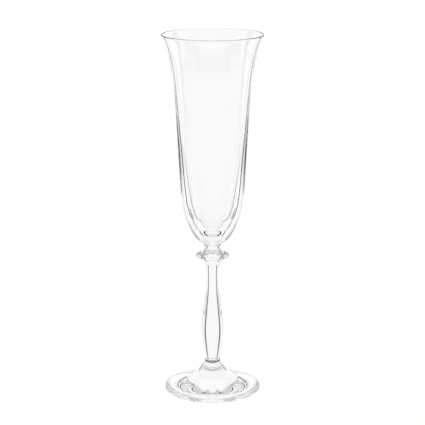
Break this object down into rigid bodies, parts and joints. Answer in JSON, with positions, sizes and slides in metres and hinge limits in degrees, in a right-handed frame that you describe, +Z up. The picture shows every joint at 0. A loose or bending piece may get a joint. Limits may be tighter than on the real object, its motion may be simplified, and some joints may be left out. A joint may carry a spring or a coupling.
{
  "type": "champagne flute",
  "caption": "Tall clear-glass champagne flute: flared trumpet bowl on a disc knop, slender baluster stem and a spread round foot.",
  "frame": {"origin": "centre of the circle that the foot stands on, in the plane of the table", "axes": "+Z up along the axis of the glass, from the foot to the rim; X and Y lie in the table's plane and are alike"},
  "size_m": [0.0696, 0.0696, 0.25],
  "materials": {
    "bowl_glass": "clear, fire-polished blown glass",
    "stem_glass": "clear, fire-polished solid glass",
    "foot_glass": "clear, fire-polished spread glass"
  },
  "bodies": {
    "root": {"bowl": "bowl_glass", "neck_merese": "stem_glass", "disc_knop": "stem_glass", "knop_collar": "stem_glass", "baluster_stem": "stem_glass", "stem_ring": "stem_glass", "foot_merese": "stem_glass", "foot": "foot_glass"}
  },
  "joints": []
}
